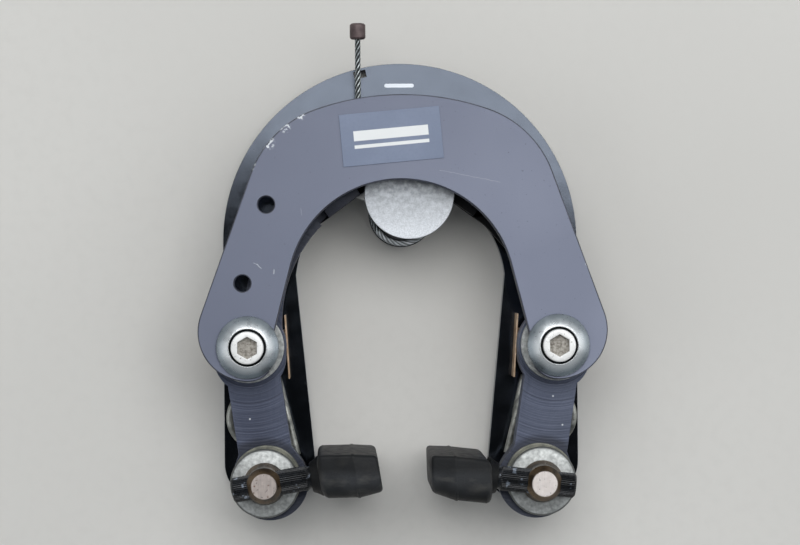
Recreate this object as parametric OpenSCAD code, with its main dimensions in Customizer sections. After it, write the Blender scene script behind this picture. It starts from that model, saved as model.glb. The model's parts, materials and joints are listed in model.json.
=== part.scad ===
// Rim brake caliper: two arms swing on sleeves between a front and a rear plate,
// and a cam on a cable drum spreads their upper ends so that the pads close below.
// The part lies on its back: x runs across the rim, y up the wheel and z to the front.
// The origin is midway between the two pivot axes, on the back of the rear plate.

/* [Layout] */
// Distance between the two pivot axes
pivot_spacing = 80; // [78:0.5:88]
// Height of the drum axis above the pivots
drum_y = 34.2; // [33.8:0.1:35]
// Distance from a pivot down to its pad bolt
pad_drop = 35.5; // [34:0.1:40]
// Distance of a pad bolt inwards of its pivot
pad_inset = 4; // [3:0.1:6]
// Height of the centre of the rear plate's arch
arch_y = 15.3; // [14.5:0.1:16]
// Radius of that arch, the room for the tyre
arch_r = 28; // [27:0.1:29]

/* [Rear plate] */
// Thickness of the rear plate
rear_t = 4; // [3:0.1:5]
// Distance from a pivot axis out to the edge of its rear leg
rear_edge = 7.1; // [6.8:0.1:9]
// Height of the top of the rear plate
rear_top_y = 74.6; // [72:0.1:78]
// Distance from the pivots down to the end of the rear legs
rear_leg_drop = 41.5; // [41:0.1:46]
// Half the space between the rear legs at their ends
rear_leg_in = 22.8; // [22:0.1:24]
// Height at which the inner edge of a rear leg leaves the arch
rear_leg_top = 18.5; // [16:0.1:20]
// Radius of the outer corner at the end of a rear leg
rear_corner_r = 10; // [6:0.5:12]
// Radius of the tongue that carries the drum axle
tongue_r = 8.2; // [8:0.1:9]
// Length of the small slot in the crown
slot_l = 3.2; // [2.5:0.1:5]
// Width of the small slot in the crown
slot_w = 1.9; // [1:0.1:2.4]

/* [Front plate] */
// Thickness of the front plate
front_t = 4; // [3:0.1:5]
// Height of the top of the front plate
front_top_y = 64.9; // [63:0.1:68]
// Radius of the front plate's crown
crown_r = 67.5; // [64:0.5:75]
// Radius of the front plate's shoulders
shoulder_r = 27; // [24:0.5:28]
// Angle of the outer sides from upright
side_angle = 19.9; // [18:0.1:22]
// Radius of the lobe round each pivot
lobe_r = 12.8; // [11.5:0.1:13.5]
// Height of the centre of that lobe above the pivot
lobe_rise = 4; // [3:0.1:5]
// Height of the centre of the front plate's arch
front_arch_y = 13.7; // [13:0.1:14.5]
// Radius of that arch
front_arch_r = 29.3; // [28.5:0.1:30]
// Distance of that arch to the left of the middle
front_arch_off = 0.4; // [0:0.1:0.8]
// Angle at which the arch runs out into the straight inner edge
inner_angle = 13.2; // [12:0.1:15]
// Radius of the inner lower corner under the dome washer
inner_corner_r = 7.4; // [6.5:0.1:8]
// Diameter of the two accessory holes in the left leg
accessory_d = 4.2; // [3:0.1:5]
// Length of the label panel
label_l = 25.9; // [20:0.1:28]
// Height of the label panel
label_h = 13.4; // [10:0.1:14]
// Thickness of the label panel
label_t = 0.25; // [0.2:0.05:0.5]

/* [Pivots] */
// Diameter of the bore that takes the stud on the bicycle frame
stud_d = 9; // [8:0.1:10]
// Outer diameter of the pivot sleeve
sleeve_d = 12; // [11.6:0.1:13]
// Distance between the two plates
plate_gap = 18; // [17.5:0.1:20]
// Free depth of the stud bore, from the back up to the bolt's end
stud_depth = 16; // [14:0.5:18]
// Thickness of the spacer washer behind the front plate
spacer_t = 2; // [1:0.1:2.4]
// Outer diameter of the spacer washer
spacer_d = 18.6; // [18:0.1:20]
// Outer diameter of the dome washer
dome_d = 16.2; // [15:0.1:17]
// Height of the dome washer
dome_h = 3.6; // [3:0.1:4.5]
// Thread diameter of the pivot bolts and eyebolts
bolt_d = 6; // [5:0.5:6.4]
// Head diameter of the pivot bolts
bolt_head_d = 8.4; // [7.8:0.1:9]
// Width across the flats of the hexagon socket
hex_af = 5; // [4:0.5:6]
// Reach of the bronze thrust blocks from the pivot towards the rim
block_in = 10; // [9.5:0.05:10.2]
// Thickness of the upright wall of the bronze thrust blocks
block_wall = 0.4; // [0.4:0.05:1]
// Height of the bronze thrust blocks
block_h = 16.8; // [14:0.1:17.4]
// Tilt of the bronze thrust blocks
block_tilt = 3.6; // [3:0.1:5]

/* [Arms] */
// Thickness of an arm at its pivot
arm_t = 8; // [7.5:0.1:8.5]
// Depth by which the milled lower face lies behind the pivot boss
arm_step = 1.35; // [0.5:0.05:2]
// Radius of the pivot boss
boss_r = 9.8; // [9.4:0.1:11]
// Wall of the bronze bush in the arm
bush_wall = 1.5; // [1:0.1:2]
// Radius of the lobe round the pad bolt
pad_lobe_r = 10; // [9.4:0.1:11]
// Width of an arm between pivot and pad bolt
arm_w = 13.8; // [13:0.1:15]
// Width of the upper lever
lever_w = 10; // [9:0.1:11]
// Radius of the upper lever's inner edge
lever_r = 36.2; // [35:0.1:37.5]
// Thickness of the link that carries the roller
link_t = 2.5; // [2:0.1:2.7]
// Radius of the ends of that link
link_r = 5.7; // [5.5:0.1:6]

/* [Pads] */
// Outer diameter of the two large washers in front of the arm
pad_washer_d = 18; // [16:0.1:19]
// Thickness of the front one
pad_washer_t = 1.5; // [1.4:0.1:2]
// Thickness of the loose one behind it
seat_washer_t = 1; // [0.8:0.1:1.5]
// Diameter of the splined pad post
post_d = 6.4; // [5.5:0.1:6.6]
// Diameter of the eyebolt's head
eye_d = 9.2; // [9:0.1:10.5]
// Diameter of the head's foot on the washer
eye_foot_d = 11; // [10.6:0.1:12]
// Diameter of the flat end of the eyebolt's head
eye_flat_d = 6.2; // [5:0.1:7]
// Height of the eyebolt's head
eye_h = 8; // [7.8:0.1:9.5]
// Length of the post outside its bolt
post_tail = 8.3; // [6:0.1:10]
// Tilt of the left post
left_post_tilt = 9; // [4:0.5:11]
// Tilt of the right post
right_post_tilt = 6.5; // [4:0.5:11]
// Length of a pad along the rim
pad_l = 36.6; // [30:0.2:37]
// Height of a pad at its base
pad_h = 11.2; // [10.6:0.1:13]
// Depth of a pad from its base to its rubbing face
pad_depth = 15.3; // [13:0.1:16]
// Half the gap between the rubbing faces
pad_gap = 6.5; // [5.5:0.1:8]
// Skew of the worn pads: of the left one's long sides, of the right one's face
pad_skew = 8; // [0:0.5:10]

/* [Springs] */
// Diameter of the spring wire
wire_d = 1.8; // [1.4:0.1:2]
// Middle radius of the spring coil
coil_r = 7.6; // [7.4:0.1:7.8]
// Pitch of the spring coil
coil_pitch = 2.3; // [2.3:0.05:2.4]
// Distance from a pivot down to its spring post
coil_drop = 19.2; // [19.1:0.1:19.6]
// Distance of a spring post inwards of its pivot
coil_inset = 2.1; // [1.8:0.1:2.4]
// Lean of the spring legs from upright
leg_tilt = 14; // [13:0.1:14.5]
// Length of a spring leg past its peg or anchor
leg_past = 1; // [0.6:0.1:1.2]
// Diameter of the peg on the arm
peg_d = 3; // [2.5:0.1:3.4]
// Diameter of the anchor pin on the rear plate
anchor_d = 2; // [1.6:0.1:2.2]

/* [Drum and cable] */
// Diameter of the inner cable
cable_d = 1.5; // [1.2:0.1:1.6]
// Radius of the wound cable's middle
wind_r = 7.6; // [7.5:0.1:8]
// Turns of cable on the drum
wind_turns = 1.75; // [1.6:0.05:1.8]
// Pitch of the turns
wind_pitch = 2.2; // [2.1:0.05:2.3]
// Diameter of the drum axle
axle_d = 7; // [6:0.1:7]
// Thickness of the cam
cam_t = 5; // [4.5:0.1:5.2]
// Radius of the cam away from its lobes
cam_base_r = 8; // [7.6:0.1:8.5]
// Diameter of the round cap on the drum
cap_d = 23.2; // [21:0.1:24]
// Thickness of the cap
cap_t = 1.8; // [1.2:0.1:2]
// Sideways offset of the cap from the drum axis
cap_dx = 2; // [0:0.1:2.5]
// Upward offset of the cap from the drum axis
cap_dy = 5.1; // [4.2:0.1:5.4]
// Lean of the straight cable from upright
tail_tilt = 4.3; // [3:0.1:5.5]
// Height of the cable nipple's lower end above the pivots
nipple_y = 79.7; // [78:0.1:90]
// Diameter of the cable nipple
nipple_d = 4.1; // [3.5:0.1:5]
// Length of the cable nipple
nipple_l = 4.1; // [3.5:0.1:6]
// Diameter of a roller
roller_d = 9; // [8:0.1:9.4]
// Sideways distance of a roller from the drum axis
roller_dx = 6.9; // [6.8:0.1:7.4]
// Upward distance of a roller from the drum axis
roller_dy = 15.2; // [14.8:0.1:15.8]
// Drum turn from rest, with the brake released, to brake fully applied
turn_shut = 30; // [20:1:31]
// Turn of an arm for each degree of drum turn
arm_ratio = 0.15; // [0.1:0.01:0.16]

/* [Fits] */
// Gap at a running bore, on the radius
run_gap = 0.05; // [0.02:0.01:0.1]
// Gap between running faces
face_gap = 0.15; // [0.1:0.05:0.3]
// Gap at a pressed or bolted hole, on the radius
press_gap = 0.02; // [0.01:0.01:0.05]
// Room between pieces that pass each other
clear_gap = 0.4; // [0.3:0.05:0.5]

/* [Hidden] */
$fn = 96;

// Colours of the materials
anodised = [0.36, 0.37, 0.45];
anodised_dark = [0.22, 0.24, 0.32];
gloss_black = [0.04, 0.045, 0.05];
steel = [0.72, 0.73, 0.74];
bronze = [0.62, 0.45, 0.26];
brown_steel = [0.33, 0.25, 0.2];
rubber = [0.1, 0.105, 0.11];
label_blue = [0.38, 0.45, 0.56];

// Places in the plane of the plates, all for the left side
px = pivot_spacing / 2;
pivot = [-px, 0];
pad_bolt = [-px + pad_inset, -pad_drop];
drum = [0, drum_y];
roller = [-roller_dx, drum_y + roller_dy];
coil = [-px + coil_inset, -coil_drop];

// Heights of the stack, from the back
front_z0 = rear_t + plate_gap;
front_z1 = front_z0 + front_t;
arm_z1 = front_z0 - spacer_t - face_gap;
arm_z0 = arm_z1 - arm_t;
arm_face = arm_z1 - arm_step;
block_z1 = arm_z0 - face_gap;
cam_lift = 1;
cam_z0 = rear_t + cam_lift;
cam_z1 = cam_z0 + cam_t;
link_z0 = cam_z1 + clear_gap;
link_z1 = link_z0 + link_t;
flange_z0 = link_z1 + clear_gap;
flange_t = 0.7;
flange_z1 = flange_z0 + flange_t;
cap_z0 = front_z0 - clear_gap - cap_t;
tail_z = cap_z0 - face_gap - cable_d / 2;
through = 1;

// Unit vector at an angle
function dir(a) = [cos(a), sin(a)];
// Point turned about the origin
function turned(p, a) = [p.x * cos(a) - p.y * sin(a), p.x * sin(a) + p.y * cos(a)];
// Points along an arc
function arc(c, r, a0, a1, n) = [for (i = [0:n]) c + r * dir(a0 + (a1 - a0) * i / n)];
// Unit vector along any vector
function unit(v) = v / norm(v);

// Round-ended bar of height h between two points, with its own radius at each end
module bar(p, rp, q, rq, h) {
    a = atan2(q.y - p.y, q.x - p.x);
    s = acos((rp - rq) / norm(q - p));
    translate(p) cylinder(r = rp, h = h);
    translate(q) cylinder(r = rq, h = h);
    linear_extrude(h) polygon([
        p + rp * dir(a + s), q + rq * dir(a + s), q + rq * dir(a - s), p + rp * dir(a - s)]);
}

// Part of a ring between two angles less than half a turn apart
module ring_part2d(c, r0, r1, a0, a1) {
    reach = 2 * r1;
    translate(c) intersection() {
        difference() {
            circle(r1);
            circle(r0);
        }
        polygon([[0, 0], reach * dir(a0), reach * dir((a0 + a1) / 2), reach * dir(a1)]);
    }
}

// Flat ring, standing on height z
module ring(r0, r1, h, z) {
    translate([0, 0, z]) difference() {
        cylinder(r = r1, h = h);
        translate([0, 0, -through]) cylinder(r = r0, h = h + 2 * through);
    }
}

// The same shape on the left, or mirrored to the right
module sided(right) {
    if (right) mirror([1, 0, 0]) children();
    else children();
}

// Tube of even thickness along a path that never runs upright
module tube(path, d, sides) {
    last = len(path) - 1;
    along = [for (i = [0:last]) unit(path[min(i + 1, last)] - path[max(i - 1, 0)])];
    side = [for (t = along) unit(cross([0, 0, 1], t))];
    points = [for (i = [0:last]) for (k = [0:sides - 1]) path[i]
        + d / 2 * (cos(360 * k / sides) * side[i] + sin(360 * k / sides) * cross(along[i], side[i]))];
    walls = [for (i = [0:last - 1]) for (k = [0:sides - 1]) let (
        a = i * sides + k,
        b = i * sides + (k + 1) % sides)
        each [[a, a + sides, b], [b, a + sides, b + sides]]];
    caps = [for (k = [1:sides - 2]) each [
        [0, k, k + 1],
        [last * sides, last * sides + k + 1, last * sides + k]]];
    polyhedron(points, concat(walls, caps));
}

// Least gap of a tube to itself, between rings that are not neighbours along it
function least_gap(path, d, apart) = min([for (i = [0:len(path) - 1 - apart])
    for (j = [i + apart:len(path) - 1]) norm(path[i] - path[j])]) - d;

// Rear plate, an arch with two legs and a tongue for the drum axle
rear_crown_r = px + rear_edge;
rear_arch_y = rear_top_y - rear_crown_r;
rear_inner_corner_r = 8;
rear_corner = [rear_crown_r - rear_corner_r, rear_corner_r - rear_leg_drop];
rear_inner_corner = [rear_leg_in + rear_inner_corner_r, rear_inner_corner_r - rear_leg_drop];
leg_top = [sqrt(arch_r ^ 2 - (rear_leg_top - arch_y) ^ 2), rear_leg_top];
slot_off = 10.4;
slot_drop = 2.8;
slot_tilt = 12;
sleeve_r = sleeve_d / 2;
axle_r = axle_d / 2;
far_below = -2 * rear_leg_drop;

module rear_leg2d() {
    translate(rear_corner) circle(rear_corner_r);
    translate(rear_inner_corner) circle(rear_inner_corner_r);
    polygon([
        [arch_r, rear_arch_y], [rear_crown_r, rear_arch_y],
        rear_corner + [rear_corner_r, 0], rear_corner - [0, rear_corner_r],
        rear_inner_corner - [0, rear_inner_corner_r], rear_inner_corner - [rear_inner_corner_r, 0],
        leg_top]);
}

// Hole right through a plate that stands on height z
module hole(p, r, z, t) {
    translate([p.x, p.y, z - through]) cylinder(r = r, h = t + 2 * through);
}

module rear_plate() {
    color(gloss_black) difference() {
        union() {
            linear_extrude(rear_t) difference() {
                translate([0, rear_arch_y]) circle(rear_crown_r);
                translate([0, arch_y]) circle(arch_r);
                translate([-rear_crown_r, far_below]) square([2 * rear_crown_r, arch_y - far_below]);
            }
            for (side = [0, 1]) mirror([side, 0, 0]) linear_extrude(rear_t) rear_leg2d();
            translate(drum) cylinder(r = tongue_r, h = rear_t);
            translate(drum - [tongue_r, 0]) cube([2 * tongue_r, arch_y + arch_r - drum_y + through, rear_t]);
        }
        for (side = [0, 1]) mirror([side, 0, 0]) {
            hole(pivot, sleeve_r + press_gap, 0, rear_t);
            hole(coil, post_root_r + press_gap, 0, rear_t);
            hole(anchor_at, anchor_d / 2 + press_gap, 0, rear_t);
        }
        hole(drum, axle_r + press_gap, 0, rear_t);
        translate([-slot_off, rear_top_y - slot_drop, rear_t / 2]) rotate(slot_tilt)
            cube([slot_l, slot_w, rear_t + 2 * through], center = true);
    }
}

// Front plate, a horseshoe with broad shoulders
crown_c = [0, front_top_y - crown_r];
lobe_c = [px, lobe_rise];
side_out = dir(side_angle);
shoulder_in = side_out * (lobe_c - crown_c) + lobe_r - shoulder_r;
shoulder_up = sqrt((crown_r - shoulder_r) ^ 2 - shoulder_in ^ 2);
shoulder_c = crown_c + shoulder_in * side_out + shoulder_up * dir(side_angle + 90);
crown_end = crown_c + crown_r * unit(shoulder_c - crown_c);
inner_out = dir(inner_angle);
inner_from = [0, front_arch_y] + front_arch_r * inner_out;
inner_corner_y = lobe_rise - lobe_r + inner_corner_r;
inner_lean = 1.2;
inner_lap = 0.5;
inner_run = [tan(inner_angle + inner_lean), -1];
inner_top = inner_from - inner_lap * inner_run;
inner_to = inner_from + (inner_from.y - inner_corner_y) * inner_run;
upper_hole_in = 5;
lower_hole_out = 1.2;
upper_hole = [upper_hole_in - px, 36.7];
lower_hole = [-lower_hole_out - px, 16.5];
bolt_slack = 0.25;
bolt_hole_r = bolt_d / 2 + bolt_slack;

module front_outline(t) {
    linear_extrude(t) intersection() {
        translate(crown_c) circle(crown_r);
        polygon([crown_c, crown_end, [crown_end.x, 2 * front_top_y],
            [-crown_end.x, 2 * front_top_y], [-crown_end.x, crown_end.y]]);
    }
    for (side = [0, 1]) mirror([side, 0, 0]) {
        translate(shoulder_c) cylinder(r = shoulder_r, h = t);
        translate(lobe_c) cylinder(r = lobe_r, h = t);
        linear_extrude(t) polygon([[0, inner_from.y], [0, shoulder_c.y], crown_end,
            shoulder_c + shoulder_r * side_out, lobe_c + lobe_r * side_out,
            lobe_c - [0, lobe_r], lobe_c - [lobe_r, 0]]);
    }
}

module front_inside2d() {
    translate([-front_arch_off, front_arch_y]) circle(front_arch_r);
    translate([-front_arch_off, 0]) polygon([
        inner_top, inner_to, [inner_to.x, far_below], [-inner_to.x, far_below],
        [-inner_to.x, inner_to.y], [-inner_top.x, inner_top.y]]);
    for (side = [0, 1]) mirror([side, 0]) difference() {
        translate([0, far_below]) square([px, inner_corner_y - far_below]);
        translate([px, inner_corner_y]) circle(inner_corner_r);
    }
}

module front_plate() {
    color(anodised) difference() {
        union() {
            translate([0, 0, front_z0]) front_outline(front_t);
        }
        translate([0, 0, front_z0 - through]) linear_extrude(front_t + 2 * through) front_inside2d();
        for (side = [0, 1]) mirror([side, 0, 0]) hole(pivot, bolt_hole_r, front_z0, front_t);
        for (p = [upper_hole, lower_hole]) hole(p, accessory_d / 2, front_z0, front_t);
    }
}

// Thin blank panel on the crown, a little askew
label_off = 2.7;
label_drop = 10.9;
label_tilt = 5;

module front_label() {
    color(label_blue) translate([-label_off, front_top_y - label_drop, front_z1]) rotate(label_tilt)
        translate([-label_l / 2, -label_h / 2, 0]) cube([label_l, label_h, label_t]);
}

// Sleeve that carries an arm, with the stud bore open at the back
module pivot_sleeve(right) {
    color(steel) sided(right) translate(pivot) difference() {
        cylinder(r = sleeve_r, h = front_z0);
        translate([0, 0, -through]) cylinder(d = stud_d, h = stud_depth + through);
        cylinder(r = bolt_hole_r, h = front_z0 + through);
    }
}

module spacer_washer(right) {
    color(steel) sided(right) translate(pivot)
        ring(sleeve_r + run_gap, spacer_d / 2, spacer_t, front_z0 - spacer_t);
}

// Domed washer with a recess for the bolt head
head_recess = 2.2;
recess_gap = 0.6;
dome_edge = 0.6;

module dome_washer(right) {
    rise = dome_h - dome_edge;
    half = dome_d / 2;
    ball = (half ^ 2 + rise ^ 2) / (2 * rise);
    color(steel) sided(right) translate([pivot.x, pivot.y, front_z1]) difference() {
        union() {
            cylinder(d = dome_d, h = dome_edge);
            intersection() {
                translate([0, 0, dome_h - ball]) sphere(ball);
                translate([0, 0, dome_edge]) cylinder(d = dome_d, h = dome_h);
            }
        }
        translate([0, 0, -through]) cylinder(r = bolt_hole_r, h = dome_h + 2 * through);
        translate([0, 0, dome_h - head_recess]) cylinder(d = bolt_head_d + 2 * recess_gap, h = dome_h);
    }
}

// Pivot bolt with a rounded edge on its head and a hexagon socket
bolt_head_h = 2.2;
head_edge = 0.5;
socket_depth = 1.7;

module pivot_bolt(right) {
    seat = front_z1 + dome_h - head_recess;
    head_r = bolt_head_d / 2;
    color(steel) sided(right) translate(pivot) difference() {
        rotate_extrude() polygon(concat(
            [[0, stud_depth], [bolt_d / 2, stud_depth], [bolt_d / 2, seat], [head_r, seat]],
            arc([head_r - head_edge, seat + bolt_head_h - head_edge], head_edge, 0, 90, 6),
            [[0, seat + bolt_head_h]]));
        translate([0, 0, seat + bolt_head_h - socket_depth]) rotate(30)
            cylinder(d = hex_af / cos(30), h = socket_depth + through, $fn = 6);
    }
}

// Bronze block that carries the thrust of an arm: a hub, a web and an upright wall beside the boss
block_hub_r = 7.6;
block_sink = 1;
web_h = 7;
web_t = 1.5;

module thrust_block(right) {
    tall = block_z1 - rear_t;
    color(bronze) sided(right) translate([pivot.x, pivot.y, rear_t]) rotate(block_tilt) difference() {
        union() {
            cylinder(r = block_hub_r, h = tall);
            translate([0, -web_h / 2, 0]) cube([block_in, web_h, web_t]);
            translate([block_in - block_wall, -block_h / 2 - block_sink, 0])
                cube([block_wall, block_h, tall]);
        }
        translate([0, 0, -through]) cylinder(r = sleeve_r + press_gap, h = block_z1 + through);
    }
}

// Torsion spring behind an arm: one leg on the anchor pin, the other on the arm's peg
curls = 2;
curl_rings = 8;
spring_sides = 6;
leg_out = dir(leg_tilt);
leg_down = dir(leg_tilt - 90);
touch = coil + coil_r * leg_out;
spring_z0 = rear_t + wire_d / 2 + clear_gap;
spring_z1 = spring_z0 + curls * coil_pitch;
coil_edge = coil_r + wire_d / 2;
anchor_in = coil_r - wire_d / 2 - anchor_d / 2 - run_gap;
anchor_s = sqrt((coil_edge + anchor_d / 2 + clear_gap) ^ 2 - anchor_in ^ 2);
anchor_at = coil + anchor_in * leg_out - anchor_s * leg_down;
peg_room = 1.8;
peg_in = coil_r - wire_d / 2 - peg_d / 2 - run_gap;
peg_s = sqrt((coil_edge + peg_d / 2 + clear_gap) ^ 2 - peg_in ^ 2) + peg_room;
peg_at = coil + peg_in * leg_out + peg_s * leg_down;
peg_depth = 3;
post_r = coil_r * cos(180 / curl_rings) - wire_d / 2 - clear_gap / 2;
post_root_r = 3;

function at_height(p, z) = [p.x, p.y, z];
spring_path = concat(
    [for (i = [2, 1]) at_height(touch - (anchor_s + leg_past) * i / 2 * leg_down, spring_z0)],
    [for (i = [0:curls * curl_rings]) at_height(
        coil + coil_r * dir(leg_tilt - 360 * i / curl_rings), spring_z0 + coil_pitch * i / curl_rings)],
    [for (i = [1, 2]) at_height(touch + (peg_s + leg_past) * i / 2 * leg_down, spring_z1)]);
echo("return spring, least gap to itself", least_gap(spring_path, wire_d, 5));

module return_spring(right) {
    color(steel) sided(right) tube(spring_path, wire_d, spring_sides);
}

module spring_post(right) {
    color(steel) sided(right) translate(coil) {
        cylinder(r = post_root_r, h = rear_t);
        translate([0, 0, rear_t]) cylinder(r = post_r, h = spring_z1 - rear_t);
    }
}

module spring_anchor(right) {
    color(steel) sided(right) translate(anchor_at) cylinder(d = anchor_d, h = spring_z0 + wire_d);
}

module spring_peg(right) {
    tip = spring_z1 - wire_d;
    color(steel) sided(right) translate(at_height(peg_at, tip))
        cylinder(d = peg_d, h = arm_z0 + peg_depth - tip);
}

// Arm: boss on the pivot, flared lobe at the pad bolt, curved lever up to the roller link.
// The right lever is cut back on its inside.
bush_r0 = sleeve_r + run_gap;
bush_r1 = bush_r0 + bush_wall;
hip_in = 0.3;
hip_drop = 2.8;
hip_r = 9.4;
hip = pivot + [hip_in, -hip_drop];
flare_l = 6.5;
pad_lobe_in = 1.3;
pad_lobe_up = 0.3;
pad_lobe = pad_bolt + [pad_lobe_in, pad_lobe_up];
neck = pad_lobe + flare_l * unit(pivot - pad_lobe);
lever_in = 8.7;
lever_rise = 5.95;
lever_c = [-px + lever_in + lever_r, lever_rise];
lever_cut = 3;
lever_end_angle = 135.3;
lever_root_angle = 188;
shank_r = bolt_d / 2;
rivet_d = 3;
rivet_head_d = 4.8;
rivet_head_h = 0.8;
rivet_depth = 4;
rivet_r = lever_r + 0.6 * lever_w;
rivet_angles = [5, 13];
rivet_at = [for (a = rivet_angles) lever_c + rivet_r * dir(lever_end_angle + a)];
link_root_r = 4.6;
bend_r = lever_r + 0.65 * lever_w;
bend_angle = 1;
link_bend = lever_c + bend_r * dir(lever_end_angle + bend_angle);
link_run = roller - link_bend;
rib_from = 4.6;
rib_l = 10.2;
rib_w = 5;
rib_h = 4;

module arm(right) {
    lever_in_r = lever_r + (right ? lever_cut : 0);
    color(anodised_dark) sided(right) difference() {
        union() {
            translate([0, 0, arm_z0]) {
                translate(hip) cylinder(r = hip_r, h = arm_face - arm_z0);
                bar(pivot, arm_w / 2, neck, arm_w / 2, arm_face - arm_z0);
                bar(neck, arm_w / 2, pad_lobe, pad_lobe_r, arm_face - arm_z0);
            }
            translate(at_height(pivot, arm_z0)) cylinder(r = boss_r, h = arm_t);
            translate([0, 0, link_z1]) linear_extrude(arm_z1 - link_z1)
                ring_part2d(lever_c, lever_in_r, lever_r + lever_w, lever_end_angle, lever_root_angle);
        }
        translate(pivot) cylinder(r = bush_r1 + press_gap, h = front_z0);
        translate(pad_bolt) cylinder(r = shank_r + press_gap, h = front_z0);
        translate(at_height(peg_at, arm_z0 - through))
            cylinder(r = peg_d / 2 + press_gap, h = peg_depth + through);
        for (p = rivet_at) translate(at_height(p, link_z1 - through))
            cylinder(r = rivet_d / 2 + press_gap, h = rivet_depth + through);
    }
}

module arm_bush(right) {
    color(bronze) sided(right) translate(pivot) ring(bush_r0, bush_r1, arm_t, arm_z0);
}

module roller_link(right) {
    color(gloss_black) sided(right) difference() {
        union() {
            translate([0, 0, link_z0]) {
                bar(rivet_at[1], link_root_r, link_bend, link_r, link_t);
                bar(link_bend, link_r, roller, link_r, link_t);
                translate(link_bend) rotate(atan2(link_run.y, link_run.x))
                    translate([rib_from, -link_r, 0]) cube([rib_l, rib_w, link_t + rib_h]);
            }
        }
        hole(roller, pin_r + press_gap, link_z0, link_t);
        for (p = rivet_at) hole(p, rivet_d / 2 + press_gap, link_z0, link_t);
    }
}

module link_rivets(right) {
    color(steel) sided(right) for (p = rivet_at) translate(p) {
        translate([0, 0, link_z0 - rivet_head_h]) cylinder(d = rivet_head_d, h = rivet_head_h);
        translate([0, 0, link_z0]) cylinder(d = rivet_d, h = link_t + rivet_depth);
    }
}

// Roller on a headed pin under the link
pin_r = 2;
pin_collar_r = 3.2;
roller_inset = 0.3;
roller_z0 = cam_z0 + roller_inset;
roller_z1 = cam_z1 - roller_inset;
pin_head_h = 0.7;

module roller_pin(right) {
    color(steel) sided(right) translate(roller) {
        translate([0, 0, roller_z0 - run_gap - pin_head_h]) cylinder(r = pin_collar_r, h = pin_head_h);
        translate([0, 0, roller_z0 - run_gap]) cylinder(r = pin_r, h = link_z1 - roller_z0 + run_gap);
        translate([0, 0, roller_z1 + run_gap]) cylinder(r = pin_collar_r, h = link_z0 - roller_z1 - run_gap);
    }
}

module arm_roller(right) {
    color(steel) sided(right) translate(roller)
        ring(pin_r + run_gap, roller_d / 2, roller_z1 - roller_z0, roller_z0);
}

// Pad hardware, stacked on the pad bolt's axis
seat_z1 = arm_face + seat_washer_t;
washer_z1 = seat_z1 + pad_washer_t;
post_z = washer_z1 + post_d / 2 + run_gap;
lock_washer_t = 1.5;
lock_washer_d = 12;
nut_t = 5;
nut_af = 10;
shank_past = 0.5;
washer_bevel = 0.7;
eye_bevel_h = 2;
eye_foot_h = 3;
seat_in = 0.5;
seat_up = 0.9;

function post_tilt(right) = right ? right_post_tilt : left_post_tilt;
// Distance from the pad bolt to a pad's base, along its post
function pad_base(right) = (px - pad_inset - pad_gap) / cos(post_tilt(right)) - pad_depth;

// Frame of a pad post: x along the post towards the rim, z to the front
module on_post(right) {
    sided(right) translate(at_height(pad_bolt, post_z)) rotate(post_tilt(right)) children();
}

module pad_washer(right) {
    half = pad_washer_d / 2;
    color(steel) sided(right) translate(pad_bolt) rotate_extrude() polygon([
        [shank_r + press_gap, seat_z1], [half, seat_z1], [half, washer_z1 - washer_bevel],
        [half - 2 * washer_bevel, washer_z1], [shank_r + press_gap, washer_z1]]);
}

// Washer that sits off the bolt's axis, with its hole on the axis
module seat_washer(right) {
    color(steel) sided(right) difference() {
        translate(at_height(pad_bolt + [seat_in, seat_up], arm_face))
            cylinder(d = pad_washer_d, h = seat_washer_t);
        hole(pad_bolt, shank_r + press_gap, arm_face, seat_washer_t);
    }
}

module eyebolt(right) {
    top = washer_z1 + eye_h;
    foot = arm_z0 - lock_washer_t - nut_t - shank_past;
    color(brown_steel) difference() {
        sided(right) translate(pad_bolt) {
            translate([0, 0, foot]) cylinder(r = shank_r, h = washer_z1 - foot);
            translate([0, 0, washer_z1]) cylinder(d = eye_d, h = eye_h - eye_bevel_h);
            translate([0, 0, washer_z1]) cylinder(d1 = eye_foot_d, d2 = eye_d, h = eye_foot_h);
            translate([0, 0, top - eye_bevel_h]) cylinder(d1 = eye_d, d2 = eye_flat_d, h = eye_bevel_h);
        }
        on_post(right) rotate([0, 90, 0]) cylinder(r = post_d / 2 + press_gap, h = 2 * eye_d, center = true);
    }
}

module lock_washer(right) {
    color(steel) sided(right) translate(pad_bolt)
        ring(shank_r + press_gap, lock_washer_d / 2, lock_washer_t, arm_z0 - lock_washer_t);
}

module eyebolt_nut(right) {
    color(steel) sided(right) translate(at_height(pad_bolt, arm_z0 - lock_washer_t - nut_t)) difference() {
        cylinder(d = nut_af / cos(30), h = nut_t, $fn = 6);
        translate([0, 0, -through]) cylinder(r = shank_r + press_gap, h = nut_t + 2 * through);
    }
}

// Rubber pad, with a collar round the post, a moulding seam and a tapered face
collar_l = 2.4;
collar_r = 5.2;
collar_lip = 0.8;
socket_l = 3;
seam_at = 9.2;
seam_w = 0.4;
seam_h = 0.2;
base_bevel = 1.5;
face_taper = 0.4;
face_bevel = 0.6;
nose_taper = 1.2;

module pad_post(right) {
    color(gloss_black) on_post(right) translate([-post_tail, 0, 0]) rotate([0, 90, 0])
        cylinder(d = post_d, h = post_tail + pad_base(right) + socket_l - run_gap);
}

function skewed(p, right) = right
    ? [p.x + tan(pad_skew) * p.y, p.y]
    : [p.x, p.y - tan(pad_skew) * (p.x - pad_depth / 2)];

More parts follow.
